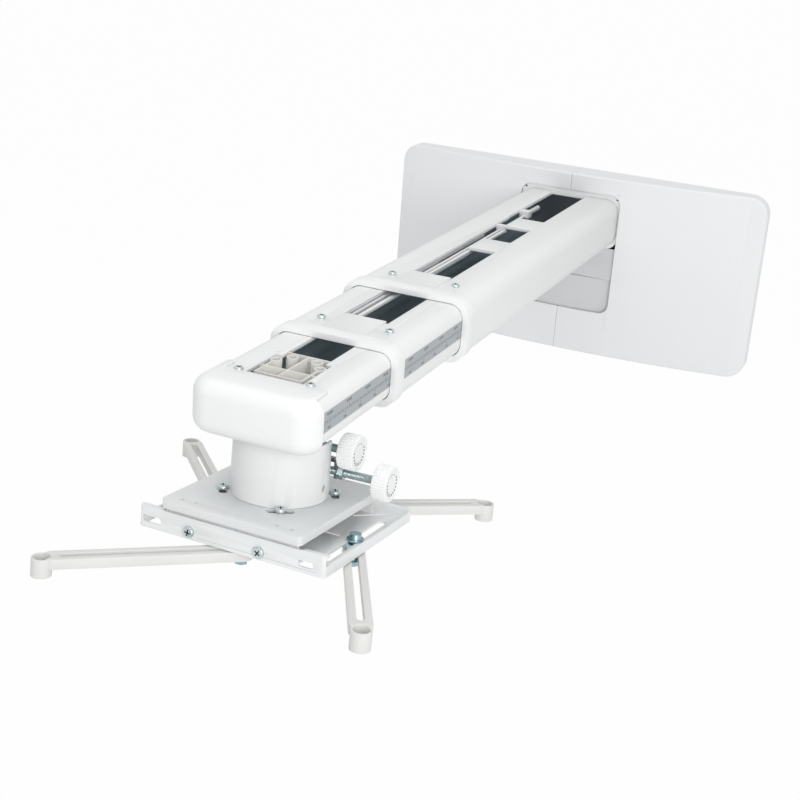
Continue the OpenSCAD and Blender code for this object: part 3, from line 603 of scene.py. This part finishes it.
def dial_plastic(name, place, length):
    finish, tree, shader, coords, _ = new_finish(name, (0.82, 0.82, 0.82), 0.4)
    x, y, z = axes_in(tree, coords, place)
    reach = (y * y + z * z).op("SQRT")
    turn = z.op("ARCTAN2", y)
    front = x > length - face_depth
    tick = (turn * (ticks / full_turn)).op("FRACT") < tick_share
    tick = tick * (reach > 0.0074) * (reach < 0.0088)
    # The thin ring over the face's groove is coloured darker: painted shade of the groove.
    shaded_ring = (reach > 0.0069) * (reach < 0.0073) * 0.6
    tick = (tick * (z < 0.004)).op("MAXIMUM", shaded_ring) * front
    tone = speckle(tree, coords, 30, 1)
    white = blend_colour(tree, tone, (0.89, 0.89, 0.89), (0.92, 0.92, 0.915))
    tree.links.new(blend_colour(tree, tick * 0.9, white, (0.05, 0.055, 0.06)),
                   shader.inputs["Base Color"])
    skin = speckle(tree, coords, 800)
    tree.links.new((skin * 0.12 + 0.34).out, shader.inputs["Roughness"])
    raise_by(tree, shader, skin, 0.00005, 0.4)
    return finish


rim_sides, rim_r, tooth_from = 144, 0.01285, 0.01215


def knob(node, body, place, length):
    bpy.ops.object.select_all(action="DESELECT")
    bpy.ops.mesh.primitive_cylinder_add(vertices=rim_sides, radius=rim_r, depth=length,
                                        location=(length / 2, 0, 0),
                                        rotation=(0, math.pi / 2, 0))
    grip = settle(bpy.context.object)
    round_off(grip, 0.0009, 3, None, lambda face: abs(face.normal.x) > 0.9)
    pick(grip, None, lambda face: face.normal.x > 0.9 and len(face.vertices) > 40)
    for step, sink in ((0.0012, 0), (0.0003, -0.0004), (0.0029, 0), (0.0002, -0.0003),
                       (0.0003, 0), (0.0002, 0.0003)):
        bpy.ops.mesh.inset(thickness=step, depth=sink)
    bpy.ops.mesh.select_mode(type="VERT")
    bpy.ops.mesh.select_all(action="DESELECT")
    bpy.ops.object.mode_set(mode="OBJECT")
    for vert in grip.data.vertices:
        side = round(math.atan2(vert.co.z, vert.co.y) / (math.tau / rim_sides))
        reach = Vector((vert.co.y, vert.co.z)).length
        vert.select = side % 4 in (0, 1) and reach > tooth_from
    bpy.ops.object.mode_set(mode="EDIT")
    bpy.ops.transform.resize(value=(1, 0.95, 0.95), center_override=(0, 0, 0))
    bpy.ops.object.mode_set(mode="OBJECT")
    bpy.ops.object.shade_smooth_by_angle(angle=math.radians(30))
    grip.data.transform(place)
    grip.data.materials.clear()
    grip.data.materials.append(dial_plastic(node + " plastic", place, length))
    grip.name = grip.data.name = node + "_dressed"
    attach(grip, body)
    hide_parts(node)


knob("tilt_knob", "tilt_cam",
     pitch_place @ Matrix.Translation((0.042, 0.012, 0.0368)), 0.0125)
knob("side_knob", "side_screw",
     roll_place @ Matrix.Translation((0.0679, 0.016, 0.0166)), 0.0114)


# Head plate
# Folded steel plate, powder coated, with slots for the head screws.
plate_white, tree, shader, coords, _ = new_finish("plate coat", (0.76, 0.775, 0.77), 0.42)
tree.links.new(blend_colour(tree, speckle(tree, coords, 22), (0.74, 0.755, 0.75),
                            (0.79, 0.80, 0.795)), shader.inputs["Base Color"])
powder(tree, shader, coords)
dressed("head_plate", "plate", plate_white, 0.0009, 3, 50)


# Tray
# Pressed steel tray under the plate, powder coated, its rails rolled over, with a
# faint fold line along the front one, drawn as a grey line: painted shade of the crease.
tray_white, tree, shader, coords, _ = new_finish("tray coat", (0.76, 0.775, 0.77), 0.42)
x, y, z = axes_in(tree, coords, plate_place)
fold_z, fold_half, rail_face = -0.0223, 0.00028, -0.0629
# A thin grey line along the front fold: painted shade of the crease.
fold_shade = ((z - fold_z).size() < fold_half) * (y < rail_face) * (x > -0.026) * (x < 0.068)
tray_tone = blend_colour(tree, speckle(tree, coords, 22), (0.80, 0.815, 0.81),
                         (0.84, 0.85, 0.845))
tree.links.new(blend_colour(tree, fold_shade * 0.5, tray_tone, (0.42, 0.44, 0.44)),
               shader.inputs["Base Color"])
powder(tree, shader, coords)
dressed("tray", "plate", tray_white, 0.0005, 2, 50)


# Legs
# Die-cast slotted bars, coated warm white, each ending in a counterbored eyelet.
leg_white, tree, shader, coords, _ = new_finish("leg coat", (0.74, 0.74, 0.71), 0.45)
tree.links.new(blend_colour(tree, speckle(tree, coords, 25), (0.70, 0.70, 0.67),
                            (0.77, 0.77, 0.74)), shader.inputs["Base Color"])
powder(tree, shader, coords, 800, 0.38, 0.00008)
for corner in ("fl", "rl", "fr", "rr"):
    dressed("leg_" + corner, "leg_" + corner, leg_white, 0.0012, 3, 50)


# Leg bolts
# Blue-passivated M6 bolts with a round washer above and a nut below; the yoke's
# two bolts are plain zinc.
passive, tree, shader, coords, _ = new_finish("blue zinc", (0.33, 0.48, 0.53), 0.28, 1.0)
tree.links.new(blend_colour(tree, speckle(tree, coords, 180, 3), (0.24, 0.40, 0.46),
                            (0.46, 0.60, 0.64)), shader.inputs["Base Color"])
tree.links.new((speckle(tree, coords, 420) * 0.2 + 0.2).out, shader.inputs["Roughness"])
for corner in ("fl", "rl", "fr", "rr"):
    dressed("bolt_" + corner, "bolt_" + corner, passive, 0.0004, 2)
paint(nodes["yoke_bolts"], zinc)


# Floor, light and camera
# A pale floor far below the arm, wide soft lamps, and the photograph's view.
bpy.ops.object.select_all(action="DESELECT")
bpy.ops.mesh.primitive_plane_add(size=90, location=(0, -1, -0.75))
floor = bpy.context.object
floor.name = "floor"
pale = bpy.data.materials.new("pale floor")
pale.use_nodes = True
tree = pale.node_tree
out = next(n for n in tree.nodes if n.type == "OUTPUT_MATERIAL")
matt = next(n for n in tree.nodes if n.type == "BSDF_PRINCIPLED")
matt.inputs["Base Color"].default_value = (0.8, 0.8, 0.8, 1)
matt.inputs["Roughness"].default_value = 0.9
glow = tree.nodes.new("ShaderNodeEmission")
glow.inputs["Strength"].default_value = 1.0
path = tree.nodes.new("ShaderNodeLightPath")
mix = tree.nodes.new("ShaderNodeMixShader")
seen = Flow(tree, path.outputs["Is Camera Ray"]).op(
    "MAXIMUM", Flow(tree, path.outputs["Is Glossy Ray"]))
tree.links.new((seen * 0.97).out, mix.inputs[0])
tree.links.new(matt.outputs[0], mix.inputs[1])
tree.links.new(glow.outputs[0], mix.inputs[2])
tree.links.new(mix.outputs[0], out.inputs[0])
floor.data.materials.append(pale)

world = bpy.data.worlds.new("studio")
bpy.context.scene.world = world
world.use_nodes = True
tree = world.node_tree
tree.nodes.clear()
out = tree.nodes.new("ShaderNodeOutputWorld")
room = tree.nodes.new("ShaderNodeBackground")
room.inputs["Color"].default_value = (0.97, 0.985, 1.0, 1)
room.inputs["Strength"].default_value = 0.66
white = tree.nodes.new("ShaderNodeBackground")
white.inputs["Strength"].default_value = 1.0
path = tree.nodes.new("ShaderNodeLightPath")
mix = tree.nodes.new("ShaderNodeMixShader")
seen = Flow(tree, path.outputs["Is Camera Ray"]).op(
    "MAXIMUM", Flow(tree, path.outputs["Is Glossy Ray"])).op(
    "MAXIMUM", Flow(tree, path.outputs["Is Transmission Ray"]))
tree.links.new(seen.out, mix.inputs[0])
tree.links.new(room.outputs[0], mix.inputs[1])
tree.links.new(white.outputs[0], mix.inputs[2])
tree.links.new(mix.outputs[0], out.inputs[0])


lit_spot = Vector((0, -0.4, 0))  # both lamps face the middle of the arm


def soft_lamp(name, place, size, watts):
    lamp = bpy.data.lights.new(name, "AREA")
    lamp.shape = "SQUARE"
    lamp.size = size
    lamp.energy = watts
    holder = bpy.data.objects.new(name, lamp)
    bpy.context.scene.collection.objects.link(holder)
    holder.location = place
    towards = lit_spot - Vector(place)
    holder.rotation_euler = towards.to_track_quat("-Z", "Y").to_euler()


soft_lamp("key", (1.5, -2.3, 0.75), 1.3, 25)
soft_lamp("top", (-0.2, -0.7, 2.2), 1.8, 12)

camera = bpy.data.objects.new("camera", bpy.data.cameras.new("camera"))
bpy.context.scene.collection.objects.link(camera)
camera.data.sensor_fit = "HORIZONTAL"
camera.data.sensor_width = 36
camera.data.lens = 62.19
camera.data.shift_x = 0.0064
camera.data.shift_y = -0.0983
camera.location = (0.42067, -1.47908, 0.40838)
camera.rotation_euler = tuple(math.radians(a) for a in (71.64084, -4.08068, 24.56657))
camera.data.clip_start, camera.data.clip_end = 0.05, 200
bpy.context.scene.camera = camera
bpy.context.scene.view_settings.view_transform = "Standard"
